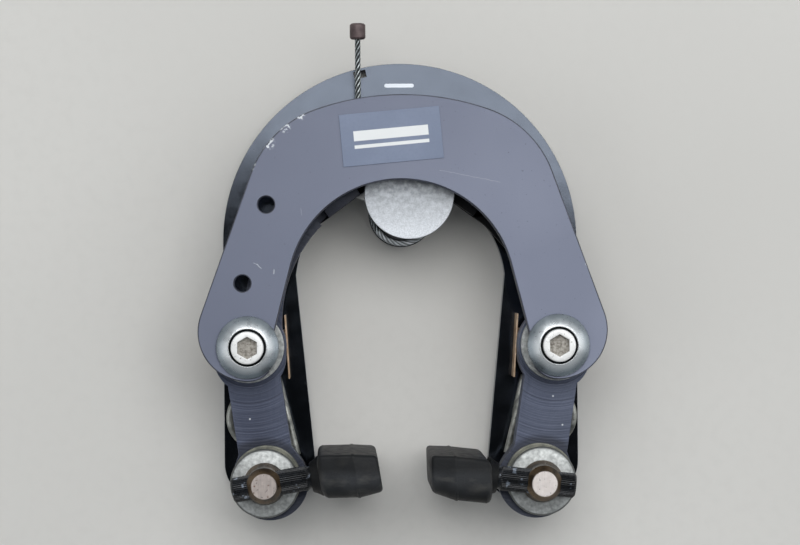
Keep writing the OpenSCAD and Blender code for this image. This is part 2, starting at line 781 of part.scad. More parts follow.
module pad_profile2d(right) {
    h = pad_h / 2;
    corners = [
        [0, base_bevel - h], [base_bevel, -h], [seam_at - seam_w, -h], [seam_at, -h - seam_h],
        [seam_at + seam_w, -h], [pad_depth - face_bevel, nose_taper - h],
        [pad_depth, nose_taper + face_bevel - h], [pad_depth, h - face_taper - face_bevel],
        [pad_depth - face_bevel, h - face_taper], [seam_at + seam_w, h],
        [seam_at, h + seam_h], [seam_at - seam_w, h], [base_bevel, h], [0, h - base_bevel]];
    polygon([for (p = corners) skewed(p, right)]);
}

module brake_pad(right) {
    color(rubber) on_post(right) translate([pad_base(right), 0, 0]) difference() {
        union() {
            translate([0, 0, -pad_l / 2]) linear_extrude(pad_l) pad_profile2d(right);
            translate([-collar_l, 0, 0]) rotate([0, 90, 0])
                cylinder(r1 = post_d / 2 + collar_lip, r2 = collar_r, h = collar_l);
        }
        translate([-collar_l - through, 0, 0]) rotate([0, 90, 0])
            cylinder(r = post_d / 2 + press_gap, h = collar_l + through + socket_l);
    }
}

// Drum on its axle, held by a screw under the cap
wind_rings = 24;
hub_r = 7.6;
flange_lip = 0.2;
flange_r = wind_r + cable_d / 2 + flange_lip;
core_r = wind_r * cos(180 / wind_rings) - cable_d / 2 - run_gap;
axle_collar_r = 5.5;
screw_r = 2;
screw_head_r = 5;
screw_head_h = 2;
screw_depth = 7;
cam_screw_r = 1.25;
cam_screw_head_r = 1.6;
cam_screw_at = 5.4;
cam_screw_l = 7;
cam_screw_head_h = 1.5;
spigot_h = 0.4;
axle_top = cap_z0 - spigot_h - face_gap - screw_head_h;

module drum_axle() {
    color(steel) translate(drum) difference() {
        union() {
            cylinder(r = axle_r, h = axle_top);
            translate([0, 0, rear_t]) cylinder(r = axle_collar_r, h = cam_lift - face_gap);
        }
        translate([0, 0, axle_top - screw_depth])
            cylinder(r = screw_r + press_gap, h = screw_depth + through);
    }
}

module drum_screw() {
    color(steel) translate(at_height(drum, axle_top)) difference() {
        union() {
            translate([0, 0, press_gap - screw_depth]) cylinder(r = screw_r, h = screw_depth);
            cylinder(r = screw_head_r, h = screw_head_h);
        }
        translate([0, 0, screw_head_h / 2]) cylinder(d = screw_head_r, h = screw_head_h, $fn = 6);
    }
}

module cable_drum() {
    color(gloss_black) translate(drum) difference() {
        union() {
            translate([0, 0, cam_z1]) cylinder(r = hub_r, h = flange_z0 - cam_z1);
            translate([0, 0, flange_z0]) cylinder(r = flange_r, h = flange_t);
            translate([0, 0, flange_z1]) cylinder(r = core_r, h = cap_z0 - flange_z1);
        }
        cylinder(r = axle_r + run_gap, h = front_z1);
        translate([0, 0, axle_top - run_gap]) cylinder(r = screw_head_r + clear_gap, h = front_z1);
        for (a = [0, 180]) rotate(a) translate([0, cam_screw_at, cam_z1 - through])
            cylinder(r = cam_screw_r + press_gap, h = cam_screw_l - cam_t + 2 * through);
    }
}

// Cam whose flanks keep the rollers at the arms' angle through the whole drum turn
cam_steps = 24;
cam_margin = 1.5;
cam_gap = 0.15;
half_step = 0.5;
cam_valley = 103;

// Centre of a roller in the drum's own frame, at a drum turn towards shut
function pitch_point(turn, side) = let (
    swung = pivot + turned(roller - pivot, arm_ratio * turn))
    turned([-side * swung.x, swung.y] - drum, turn);
function pitch_normal(turn, side) = let (
    step = pitch_point(turn + half_step, side) - pitch_point(turn - half_step, side))
    unit([-step.y, step.x]);
function cam_point(turn, side) = pitch_point(turn, side)
    + (roller_d / 2 + cam_gap) * pitch_normal(turn, side);
cam_turns = [for (i = [0:cam_steps]) (turn_shut + 2 * cam_margin) * i / cam_steps - cam_margin];

module drum_cam() {
    color(steel) translate(at_height(drum, cam_z0)) difference() {
        union() {
            cylinder(r = cam_base_r, h = cam_t);
            linear_extrude(cam_t) polygon(concat(
                [for (t = cam_turns) cam_point(t, -1)], [[0, 0]],
                [for (t = cam_turns) cam_point(t, 1)], [cam_base_r * dir(cam_valley)]));
        }
        translate([0, 0, -through]) cylinder(r = axle_r + run_gap, h = cam_t + 2 * through);
        for (a = [0, 180]) rotate(a) translate([0, cam_screw_at, -through]) {
            cylinder(r = cam_screw_r + press_gap, h = cam_t + 2 * through);
            cylinder(r = cam_screw_head_r + press_gap, h = cam_screw_head_h + through);
        }
    }
}

module cam_screws() {
    color(steel) translate(at_height(drum, cam_z0)) for (a = [0, 180]) rotate(a)
        translate([0, cam_screw_at, 0]) {
            cylinder(r = cam_screw_r, h = cam_screw_l);
            cylinder(r = cam_screw_head_r, h = cam_screw_head_h);
        }
}

module drum_cap() {
    color(steel) translate(at_height(drum, cap_z0)) {
        translate([cap_dx, cap_dy, 0]) cylinder(d = cap_d, h = cap_t);
        translate([0, 0, -spigot_h]) cylinder(r = screw_head_r + clear_gap - press_gap, h = spigot_h);
    }
}

// Cable: turns on the drum, a clamp block at their end, a straight tail and its nipple
wind_sides = 6;
wind_start_angle = 180 + tail_tilt;
wind_steps = round(wind_turns * wind_rings);
wind_end_angle = wind_start_angle + 360 * wind_turns;
wind_z1 = tail_z - wind_turns * wind_pitch;
tail_up = dir(90 + tail_tilt);
tail_foot = drum + wind_r * dir(wind_start_angle);
tail_l = (nipple_y - tail_foot.y) / tail_up.y;
tail_from = cable_d + run_gap;
wind_path = concat(
    [at_height(tail_foot + cable_d * tail_up, tail_z)],
    [for (i = [0:wind_steps]) let (turns = wind_turns * i / wind_steps)
        at_height(drum + wind_r * dir(wind_start_angle + 360 * turns), tail_z - wind_pitch * turns)],
    [at_height(drum + wind_r * dir(wind_end_angle) + cable_d * dir(wind_end_angle + 90), wind_z1)]);
echo("cable winding, least gap to itself", least_gap(wind_path, cable_d, 9));
clamp_l = 3.4;
clamp_w = 3;

module cable_winding() {
    color(steel) tube(wind_path, cable_d, wind_sides);
}

module cable_anchor() {
    color(steel) translate(at_height(drum, flange_z1)) rotate(wind_end_angle)
        translate([core_r + run_gap, cable_d + face_gap, 0])
            cube([clamp_w, clamp_l, wind_z1 + cable_d / 2 - flange_z1]);
}

module cable_tail() {
    color(steel) translate(at_height(tail_foot + tail_from * tail_up, tail_z)) rotate([-90, 0, tail_tilt])
        cylinder(d = cable_d, h = tail_l - tail_from);
}

module cable_nipple() {
    bevel = 0.4;
    half = nipple_d / 2;
    color(brown_steel) translate(at_height(tail_foot + tail_l * tail_up, tail_z)) rotate([-90, 0, tail_tilt])
        rotate_extrude() polygon([
            [0, 0], [half - bevel, 0], [half, bevel],
            [half, nipple_l - bevel], [half - bevel, nipple_l], [0, nipple_l]]);
}

rear_plate();
front_plate();
front_label();
drum_axle();
drum_screw();
pivot_sleeve(false);  // left_pivot_sleeve
pivot_sleeve(true);  // right_pivot_sleeve
pivot_bolt(false);  // left_pivot_bolt
pivot_bolt(true);  // right_pivot_bolt
dome_washer(false);  // left_dome_washer
dome_washer(true);  // right_dome_washer
spacer_washer(false);  // left_spacer_washer
spacer_washer(true);  // right_spacer_washer
thrust_block(false);  // left_thrust_block
thrust_block(true);  // right_thrust_block
spring_post(false);  // left_spring_post
spring_post(true);  // right_spring_post
spring_anchor(false);  // left_spring_anchor
spring_anchor(true);  // right_spring_anchor
return_spring(false);  // left_return_spring
return_spring(true);  // right_return_spring
arm(false);  // left_arm
arm(true);  // right_arm
arm_bush(false);  // left_arm_bush
arm_bush(true);  // right_arm_bush
roller_link(false);  // left_roller_link
roller_link(true);  // right_roller_link
link_rivets(false);  // left_link_rivets
link_rivets(true);  // right_link_rivets
roller_pin(false);  // left_roller_pin
roller_pin(true);  // right_roller_pin
arm_roller(false);  // left_roller
arm_roller(true);  // right_roller
spring_peg(false);  // left_spring_peg
spring_peg(true);  // right_spring_peg
seat_washer(false);  // left_seat_washer
seat_washer(true);  // right_seat_washer
pad_washer(false);  // left_pad_washer
pad_washer(true);  // right_pad_washer
eyebolt(false);  // left_eyebolt
eyebolt(true);  // right_eyebolt
lock_washer(false);  // left_lock_washer
lock_washer(true);  // right_lock_washer
eyebolt_nut(false);  // left_eyebolt_nut
eyebolt_nut(true);  // right_eyebolt_nut
pad_post(false);  // left_pad_post
pad_post(true);  // right_pad_post
brake_pad(false);  // left_brake_pad
brake_pad(true);  // right_brake_pad
cable_drum();
drum_cam();
cam_screws();
drum_cap();
cable_anchor();
cable_winding();
cable_tail();
cable_nipple();
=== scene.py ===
import json
import math

import bmesh
import bpy
from mathutils import Matrix, Vector


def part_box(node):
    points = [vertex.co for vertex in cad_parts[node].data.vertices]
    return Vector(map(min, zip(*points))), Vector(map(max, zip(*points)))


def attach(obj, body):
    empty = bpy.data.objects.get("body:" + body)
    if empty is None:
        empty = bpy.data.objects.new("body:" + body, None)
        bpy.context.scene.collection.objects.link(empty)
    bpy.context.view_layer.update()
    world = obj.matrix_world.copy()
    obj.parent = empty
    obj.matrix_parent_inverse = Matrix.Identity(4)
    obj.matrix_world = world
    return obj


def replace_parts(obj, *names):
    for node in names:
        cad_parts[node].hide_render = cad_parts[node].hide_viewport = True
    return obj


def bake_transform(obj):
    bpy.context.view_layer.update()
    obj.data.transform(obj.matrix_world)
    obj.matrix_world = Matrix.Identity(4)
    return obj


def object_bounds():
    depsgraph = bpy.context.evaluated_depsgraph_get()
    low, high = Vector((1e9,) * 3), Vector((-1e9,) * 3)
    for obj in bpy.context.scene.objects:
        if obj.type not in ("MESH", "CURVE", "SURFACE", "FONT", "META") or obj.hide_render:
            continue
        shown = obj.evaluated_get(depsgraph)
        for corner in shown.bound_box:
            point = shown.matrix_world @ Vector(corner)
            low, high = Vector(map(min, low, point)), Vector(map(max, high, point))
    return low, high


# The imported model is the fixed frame. Shapes here are written in millimetres and scaled on the way out.
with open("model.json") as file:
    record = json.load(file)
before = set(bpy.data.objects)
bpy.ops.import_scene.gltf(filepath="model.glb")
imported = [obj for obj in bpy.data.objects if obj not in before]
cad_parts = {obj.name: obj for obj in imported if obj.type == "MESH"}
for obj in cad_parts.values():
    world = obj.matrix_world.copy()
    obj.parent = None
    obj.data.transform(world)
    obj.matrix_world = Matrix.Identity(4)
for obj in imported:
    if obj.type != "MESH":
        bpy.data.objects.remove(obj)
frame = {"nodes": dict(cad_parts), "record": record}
cad_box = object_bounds()
MM = 0.001
SIDES = ("left", "right")
UP = Vector((0, 0, 1))
scene = bpy.context.scene
record = frame["record"]
behaviour = record["behaviour"]
body_of = {node: body for body, nodes in behaviour["bodies"].items() for node in nodes}


def corners(node):
    """Lowest and highest corner of a CAD node."""
    low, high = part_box(node)
    return low / MM, high / MM


def middle(node):
    """Centre of a CAD node's box."""
    low, high = corners(node)
    return (low + high) / 2


def colour(red, green, blue):
    """Linear colour from the 0 to 255 values of a picture, by the sRGB curve."""
    def linear(value):
        part = value / 255
        return part / 12.92 if part <= 0.04045 else ((part + 0.055) / 1.055) ** 2.4
    return linear(red), linear(green), linear(blue), 1.0


# Sockets of a colour mix, and the usual detail of a noise
MIX_SHARE, MIX_UNDER, MIX_OVER = 0, 6, 7
MIX_RESULT = 2
DETAIL = 3.0


class Finish:
    """A material from procedural nodes, with its textures measured in millimetres of the part's frame."""

    def __init__(self, name):
        self.material = bpy.data.materials.new(name)
        self.material.use_nodes = True
        self.tree = self.material.node_tree
        self.shader = self.tree.nodes["Principled BSDF"]
        coordinates = self.node("ShaderNodeTexCoord").outputs["Object"]
        self.place = self.vector("SCALE", coordinates, scale=1 / MM)
        self.flat = self.vector("MULTIPLY", self.place, (1, 1, 0))

    def node(self, kind, **settings):
        made = self.tree.nodes.new(kind)
        for name, value in settings.items():
            setattr(made, name, value)
        return made

    def wire(self, value, socket):
        if isinstance(value, bpy.types.NodeSocket):
            self.tree.links.new(value, socket)
        else:
            socket.default_value = value

    def vector(self, operation, first, second=None, scale=None):
        made = self.node("ShaderNodeVectorMath", operation=operation)
        self.wire(first, made.inputs[0])
        if second is not None:
            self.wire(second, made.inputs[1])
        if scale is not None:
            made.inputs["Scale"].default_value = scale
        return made.outputs["Value" if operation == "DISTANCE" else "Vector"]

    def math(self, operation, first, second=0.0):
        made = self.node("ShaderNodeMath", operation=operation)
        self.wire(first, made.inputs[0])
        self.wire(second, made.inputs[1])
        return made.outputs[0]

    def times(self, first, second):
        return self.math("MULTIPLY", first, second)

    def axis(self, index, place=None):
        made = self.node("ShaderNodeSeparateXYZ")
        self.wire(place or self.place, made.inputs[0])
        return made.outputs[index]

    def turned(self, centre, angle):
        """Measures along and across a direction in the plane, from a centre."""
        made = self.node("ShaderNodeMapping", vector_type="TEXTURE")
        self.wire(self.place, made.inputs["Vector"])
        made.inputs["Location"].default_value = centre
        made.inputs["Rotation"].default_value = (0, 0, angle)
        return self.axis(0, made.outputs[0]), self.axis(1, made.outputs[0])

    def away(self, point):
        """Distance from an upright axis through a point."""
        return self.vector("DISTANCE", self.flat, (point[0], point[1], 0))

    def noise(self, per_mm, detail=DETAIL, stretch=(1, 1, 1)):
        made = self.node("ShaderNodeTexNoise")
        self.wire(self.vector("MULTIPLY", self.place, stretch), made.inputs["Vector"])
        made.inputs["Scale"].default_value = per_mm
        made.inputs["Detail"].default_value = detail
        return made.outputs[0]

    def lines(self, along, per_mm):
        """Uneven bands along one measure."""
        made = self.node("ShaderNodeTexNoise", noise_dimensions="1D")
        self.wire(along, made.inputs["W"])
        made.inputs["Scale"].default_value = per_mm
        made.inputs["Detail"].default_value = DETAIL
        return made.outputs[0]

    def levels(self, value, start, end, low=0.0, high=1.0):
        made = self.node("ShaderNodeMapRange")
        for socket, given in zip(made.inputs, (value, start, end, low, high)):
            self.wire(given, socket)
        return made.outputs[0]

    def mix(self, share, under, over):
        made = self.node("ShaderNodeMix", data_type="RGBA")
        for index, given in ((MIX_SHARE, share), (MIX_UNDER, under), (MIX_OVER, over)):
            self.wire(given, made.inputs[index])
        return made.outputs[MIX_RESULT]

    def fade(self, index, stops, under, over):
        """One tone passing into another along an axis: where it starts and ends, and its share at both."""
        return self.mix(self.levels(self.axis(index), *stops), under, over)

    def near(self, point, radius, soft):
        """One within a radius of an upright axis, fading to nothing over a soft edge."""
        return self.levels(self.away(point), radius, radius + soft, 1.0, 0.0)

    def band(self, value, at, half, soft):
        """One where a value lies close to a level."""
        off = self.math("ABSOLUTE", self.math("SUBTRACT", value, at))
        return self.levels(off, half, half + soft, 1.0, 0.0)

    def bump(self, height, depth):
        made = self.node("ShaderNodeBump")
        self.wire(height, made.inputs["Height"])
        made.inputs["Distance"].default_value = depth * MM
        self.wire(made.outputs[0], self.shader.inputs["Normal"])


# Levels of a noise between which the tones of a surface change
PATCH_LEVELS = (0.35, 0.65)
GRAIN_LEVELS = (0.45, 0.75)
SMEAR_LEVELS = (0.3, 0.7)
GRAIN_SHARE = 0.4
SMEAR_FINER = 4
SPECK_SOFT = 0.03
finishes = {}


def surface(name, dark, light, patch, grain, rough, bump, specks=None, marks=None, **sockets):
    """Patches of two tones under a fine grain, with specks, and marks that a function lays over them."""
    finish = Finish(name)
    tone = finish.mix(finish.levels(finish.noise(patch), *PATCH_LEVELS), dark, light)
    fine = finish.noise(grain)
    tone = finish.mix(finish.levels(fine, *GRAIN_LEVELS, 0.0, GRAIN_SHARE), tone, dark)
    if specks:
        speck, per_mm, start = specks
        spots = finish.levels(finish.noise(per_mm, detail=1.0), start, start + SPECK_SOFT)
        tone = finish.mix(spots, tone, speck)
    if marks:
        tone = marks(finish, tone)
    finish.wire(tone, finish.shader.inputs["Base Color"])
    smear = finish.noise(patch * SMEAR_FINER, detail=4.0)
    finish.wire(finish.levels(smear, *SMEAR_LEVELS, *rough), finish.shader.inputs["Roughness"])
    for socket, value in sockets.items():
        finish.shader.inputs[socket.replace("_", " ")].default_value = value
    if not finish.shader.inputs["Normal"].is_linked:
        finish.bump(fine, bump)
    finishes[name] = finish.material


# Places and tones that the marks share
pivots = {side: middle(side + "_pivot_bolt") for side in SIDES}
BARE_METAL = colour(214, 219, 224)
# White of the printed bar and stripes, also used as a painted highlight on the dome washers
WHITE_PRINT_AND_HIGHLIGHT = colour(228, 231, 232)

# Scratches waver a little to both sides and fade at their ends
WAVER = 0.15
WAVER_PER_MM = 0.9
WAVER_LEVELS = (0.2, 0.8)
STROKE_END = 0.3
STROKE_SOFT = 0.08


def stroke(finish, start, end, thick):
    """One along a thin, slightly wavering line between two points."""
    run = Vector(end) - Vector(start)
    centre = ((start[0] + end[0]) / 2, (start[1] + end[1]) / 2, 0)
    along, across = finish.turned(centre, math.atan2(run.y, run.x))
    waver = finish.levels(finish.noise(WAVER_PER_MM, detail=2.0), *WAVER_LEVELS, -WAVER, WAVER)
    inside = finish.band(along, 0.0, run.length / 2, STROKE_END)
    return finish.times(inside, finish.band(finish.math("ADD", across, waver), 0.0, thick, STROKE_SOFT))


# Depth below the front face where the marks begin to fade, and where they end
SKIN = 0.6
SKIN_END = 1.1
# Place and reach of each chip
CHIPS = (((-39.0, 46.9), 0.9), ((-34.4, 52.5), 1.3), ((-30.0, 56.6), 1.0), ((-26.1, 59.6), 0.8))
CHIP_SOFT = 0.7
FLAKE_PER_MM = 1.5
FLAKE_LEVELS = (0.5, 0.56)


def front_skin(finish):
    """One at the front face of the front plate, fading out down its walls."""
    top = corners("front_plate")[1].z
    return finish.levels(finish.axis(2), top - SKIN_END, top - SKIN)


def chipped(finish, tone):
    """Chips down to the metal along the front edge of the left shoulder."""
    flakes = finish.times(finish.levels(finish.noise(FLAKE_PER_MM), *FLAKE_LEVELS), front_skin(finish))
    for at, reach in CHIPS:
        tone = finish.mix(finish.times(flakes, finish.near(at, reach, CHIP_SOFT)), tone, BARE_METAL)
    return tone


# Painted shade on the walls of the front plate: how far in from the faces, its soft edge, strength and tone;
# then painted shade to the left and at the top
WALL_IN = 0.4
WALL_SOFT = 0.2
WALL_SHARE = 0.85
WALL_SHADE_TONE = colour(14, 20, 30)
PLATE_SHADE = colour(100, 106, 124)
PLATE_LEFT = (-50.0, 30.0, 0.8, 0.0)
PLATE_TOP = (20.0, 55.0, 0.0, 0.45)
# Both ends of each scratch or dent, half its width and its strength
SCRATCHES = (
    ((9.8, 45.3), (25.2, 42.1), 0.02, 0.25), ((-36.4, 20.4), (-37.4, 21.3), 0.05, 0.5),
    ((-37.4, 21.3), (-38.2, 21.7), 0.05, 0.4), ((47.3, 21.0), (47.7, 20.2), 0.2, 0.7),
    ((50.1, 13.9), (50.5, 13.2), 0.2, 0.7), ((-33.1, 19.0), (-33.0, 19.9), 0.08, 0.5),
    ((-26.1, 35.6), (-25.9, 34.0), 0.03, 0.25),
)


def plate_wear_and_shade(finish, tone):
    """Painted shade on the walls, painted shade to the left and at the top, the chips, and short scratches
    and dents.
    """
    low, high = corners("front_plate")
    wall = finish.band(finish.axis(2), (low.z + high.z) / 2, (high.z - low.z) / 2 - WALL_IN, WALL_SOFT)
    # Painted shade on the walls, then painted shade to the left and at the top
    tone = finish.mix(finish.times(wall, WALL_SHARE), tone, WALL_SHADE_TONE)
    tone = finish.fade(0, PLATE_LEFT, tone, PLATE_SHADE)
    tone = finish.fade(1, PLATE_TOP, tone, PLATE_SHADE)
    tone = chipped(finish, tone)
    front = front_skin(finish)
    for start, end, thick, share in SCRATCHES:
        line = finish.times(stroke(finish, start, end, thick), share)
        tone = finish.mix(finish.times(line, front), tone, BARE_METAL)
    return tone


CUT_PER_MM = 0.4
# Level of the cutter's noise for each line, half its width, its soft edge, its strength and its tone
CUT_LINES = (
    (0.47, 0.002, 0.009, 0.65, colour(40, 44, 60)),
    (0.535, 0.002, 0.01, 0.5, colour(112, 119, 142)),
)
RIDGE_PER_MM = 1.6
RIDGE_DEPTH = 0.06
# Painted shade on the arm's lever under the front plate and on its lobe round the washer
ARM_SHADE = colour(16, 18, 26)
LEVER_FADE = (10.0, 18.0, 0.0, 0.7)
LOBE_R = 11.0
LOBE_SOFT = 1.5
LOBE_SHARE = 0.6
ARM_NICKS = {"left": ((-44.7, -18.0), (-39.8, -18.8)), "right": ((39.2, -13.5), (41.6, -21.0))}
NICK_R = 0.1
NICK_SOFT = 0.2


def milling_and_shade(side):
    """Arcs left by the cutter round the pivot of one arm, painted shade on its lever and lobe, and a few
    bright nicks.
    """
    def marks(finish, tone):
        radius = finish.away(pivots[side])
        cut = finish.lines(radius, CUT_PER_MM)
        for at, half, soft, share, line_tone in CUT_LINES:
            tone = finish.mix(finish.times(finish.band(cut, at, half, soft), share), tone, line_tone)
        # Painted shade on the lever and on the lobe
        tone = finish.fade(1, LEVER_FADE, tone, ARM_SHADE)
        lobe = finish.near(middle(side + "_eyebolt"), LOBE_R, LOBE_SOFT)
        tone = finish.mix(finish.times(lobe, LOBE_SHARE), tone, ARM_SHADE)
        for at in ARM_NICKS[side]:
            tone = finish.mix(finish.near(at, NICK_R, NICK_SOFT), tone, BARE_METAL)
        finish.bump(finish.lines(radius, RIDGE_PER_MM), RIDGE_DEPTH)
        return tone
    return marks


BAR_HALF = 3.4
BAR_THICK = 0.45
BAR_Y = 68.8
BAR_SOFT = 0.12
BAR_SKIN = 0.4
BAR_SKIN_END = 0.5


def crown_bar(finish, tone):
    """A plain white bar with round ends on the crown of the rear plate."""
    top = corners("rear_plate")[1].z
    off = finish.math("SUBTRACT", finish.math("ABSOLUTE", finish.axis(0)), BAR_HALF)
    across = finish.math("MAXIMUM", off, 0.0)
    along = finish.math("SUBTRACT", finish.axis(1), BAR_Y)
    squares = finish.math("ADD", finish.math("POWER", across, 2.0), finish.math("POWER", along, 2.0))
    bar = finish.levels(finish.math("SQRT", squares), BAR_THICK, BAR_THICK + BAR_SOFT, 1.0, 0.0)
    front = finish.levels(finish.axis(2), top - BAR_SKIN_END, top - BAR_SKIN)
    return finish.mix(finish.times(bar, front), tone, WHITE_PRINT_AND_HIGHLIGHT)


LABEL_TILT = math.radians(5)
STRIPE_HALF = 9.6
STRIPE_SOFT = 0.08
# Level of each stripe across the panel and half its width
STRIPES = ((0.9, 1.25), (-1.9, 0.4))


def film_stripes(finish, tone):
    """Plain stripes along the label panel."""
    along, across = finish.turned(middle("front_label"), LABEL_TILT)
    inside = finish.band(along, 0.0, STRIPE_HALF, STRIPE_SOFT)
    for at, half in STRIPES:
        tone = finish.mix(finish.times(finish.band(across, at, half, STRIPE_SOFT), inside), tone, WHITE_PRINT_AND_HIGHLIGHT)
    return tone


# Depth below an eyebolt's end where the bare metal is full, and where it stops
END_SKIN = 0.1
END_SKIN_END = 0.35
# Bare tones of each end: the right one lighter as a painted highlight
END_LIT_TONES = {
    "left": (colour(184, 174, 169), colour(206, 195, 189)),
    "right": (colour(240, 231, 226), colour(251, 244, 240)),
}
RUST_TONE = colour(128, 100, 84)
RUST_PER_MM = 0.9
RUST_LEVELS = (0.64, 0.7)
BRUSH_PER_MM = 2.0
BRUSH_STRETCH = (1.0, 0.15, 1.0)
BRUSH_LEVELS = (0.3, 0.7)
LEFT_TO_RIGHT = (-1.0, 1.0)


def worn_and_lit_end(finish, tone):
    """The worn, pinkish end of each eyebolt with a little rust; the right one is lighter as a painted
    highlight.
    """
    top = corners("left_eyebolt")[1].z
    end = finish.levels(finish.axis(2), top - END_SKIN_END, top - END_SKIN)
    rust = finish.levels(finish.noise(RUST_PER_MM), *RUST_LEVELS)
    brushed = finish.levels(finish.noise(BRUSH_PER_MM, detail=2.0, stretch=BRUSH_STRETCH), *BRUSH_LEVELS)
    left, right = (finish.mix(brushed, *END_LIT_TONES[side]) for side in SIDES)
    bare = finish.fade(0, LEFT_TO_RIGHT, left, right)
    return finish.mix(end, tone, finish.mix(rust, bare, RUST_TONE))


# Depth below a bolt's head where the dirt begins, and where it is full
GRIME_FROM = 0.4
GRIME_FULL = 1.4
GRIME_TONES = (colour(184, 180, 172), colour(112, 106, 98))
GRIME_PER_MM = 1.4
GRIME_LEVELS = (0.35, 0.7)


def socket_grime(finish, tone):
    """Brown dirt down in the hexagon socket of a pivot bolt."""
    top = corners("left_pivot_bolt")[1].z
    deep = finish.levels(finish.axis(2), top - GRIME_FROM, top - GRIME_FULL)
    clots = finish.levels(finish.noise(GRIME_PER_MM), *GRIME_LEVELS)
    return finish.mix(deep, tone, finish.mix(clots, *GRIME_TONES))


DUST_TONE = colour(84, 83, 80)
DUST_PER_MM = 0.2
DUST_STRETCH = (1.0, 2.2, 0.5)
DUST_LEVELS = (0.5, 0.75, 0.0, 0.5)
RUBBER_SHADE = colour(8, 9, 10)
# Painted shade on the pads: below, on top and at the collar
PAD_BELOW = (-39.0, -33.5, 1.0, 0.0)
PAD_ABOVE = (-32.0, -30.0, 0.0, 0.65)
PAD_COLLAR = (21.0, 22.0, 0.0, 0.85)


def dust_and_shade(finish, tone):
    """Pale dust in smears on the rubber, with painted shade below, on top and at the collar."""
    smear = finish.levels(finish.noise(DUST_PER_MM, detail=5.0, stretch=DUST_STRETCH), *DUST_LEVELS)
    tone = finish.mix(smear, tone, DUST_TONE)
    tone = finish.fade(1, PAD_BELOW, tone, RUBBER_SHADE)
    tone = finish.fade(1, PAD_ABOVE, tone, RUBBER_SHADE)
    collar = finish.levels(finish.math("ABSOLUTE", finish.axis(0)), *PAD_COLLAR)
    return finish.mix(collar, tone, RUBBER_SHADE)


# Painted shadow of the front plate on the cap
CAP_SHADOW_TONES = (colour(96, 101, 106), colour(158, 163, 168))
CAP_PER_MM = 0.7
CAP_LEVELS = (0.4, 0.65)
CAP_FADE = (29.0, 42.0, 0.0, 0.85)


def cap_shade(finish, tone):
    """A painted shadow of the front plate, smudged grey, on the upper part of the cap under it."""
    shade = finish.mix(finish.levels(finish.noise(CAP_PER_MM), *CAP_LEVELS), *CAP_SHADOW_TONES)
    return finish.fade(1, CAP_FADE, tone, shade)


# Painted shade in a ring near the rounded edge of each large washer
RIM_IN = 0.15
RIM_HALF = 0.2
RIM_SOFT = 0.25
RIM_SHARE = 0.8
RIM_SHADE_TONE = colour(62, 64, 62)


def washer_rim_shade(finish, tone):
    """A ring of painted shade near the edge of each large washer."""
    for side in SIDES:
        low, high = corners(side + "_pad_washer")
        away = finish.away((low + high) / 2)
        rim = finish.band(away, (high.x - low.x) / 2 - RIM_IN, RIM_HALF, RIM_SOFT)
        tone = finish.mix(finish.times(rim, RIM_SHARE), tone, RIM_SHADE_TONE)
    return tone


# Painted shade below and in the recess of each dome washer, and a painted highlight ring round the recess
DOME_SHADE = colour(84, 98, 108)
DOME_FADE = (-9.0, -2.0, 0.6, 0.0)
GLOW_R = 5.4
GLOW_SOFT = 1.8
GLOW_SHARE = 0.65
RECESS_R = 4.75
RECESS_SOFT = 0.1
RECESS_SHADE = colour(26, 30, 33)


def dome_glow(finish, tone):
    """Painted shade in the recess of each dome washer, a painted highlight ring round it and painted shade
    below.
    """
    tone = finish.fade(1, DOME_FADE, tone, DOME_SHADE)
    for pivot in pivots.values():
        tone = finish.mix(finish.times(finish.near(pivot, GLOW_R, GLOW_SOFT), GLOW_SHARE), tone, WHITE_PRINT_AND_HIGHLIGHT)
        tone = finish.mix(finish.near(pivot, RECESS_R, RECESS_SOFT), tone, RECESS_SHADE)
    return tone


CROWN_EDGE = colour(9, 10, 12)
CROWN_FADE = (30.0, 46.0)


def lit_below(finish, tone):
    """Edges with a painted pale reflection on the legs, fading to dark on the crown."""
    return finish.fade(1, CROWN_FADE, tone, CROWN_EDGE)


RUBBED_TONE = colour(132, 142, 156)
RUBBED_PER_MM = 0.55
RUBBED_LEVELS = (0.63, 0.68, 0.0, 0.7)


def rubbed(finish, tone):
    """Small bare spots on the black posts."""
    spots = finish.levels(finish.noise(RUBBED_PER_MM, detail=4.0), *RUBBED_LEVELS)
    return finish.mix(spots, tone, RUBBED_TONE)


# Specks are given as a tone, their number per millimetre and the level of the noise where they start
surface(
    "front_anodised", colour(120, 126, 145), colour(134, 140, 159), patch=0.03, grain=4.0, rough=(0.45, 0.55),
    bump=0.012, specks=(colour(106, 111, 128), 1.3, 0.74), marks=plate_wear_and_shade, Metallic=0.15)
# Rounded edges of the front plate, darker than its face as painted shade, with the chips
surface(
    "front_edge_shade", colour(44, 47, 57), colour(74, 78, 92), patch=0.12, grain=3.0, rough=(0.35, 0.5),
    bump=0.02, marks=chipped, Metallic=0.15)
surface(
    "black_enamel", colour(4, 5, 6), colour(8, 9, 10), patch=0.05, grain=2.0, rough=(0.08, 0.16),
    bump=0.002, specks=(colour(52, 54, 56), 1.1, 0.78), marks=crown_bar,
    Specular_IOR_Level=1.0, IOR=1.65, Specular_Tint=(0.66, 0.76, 0.94, 1.0))
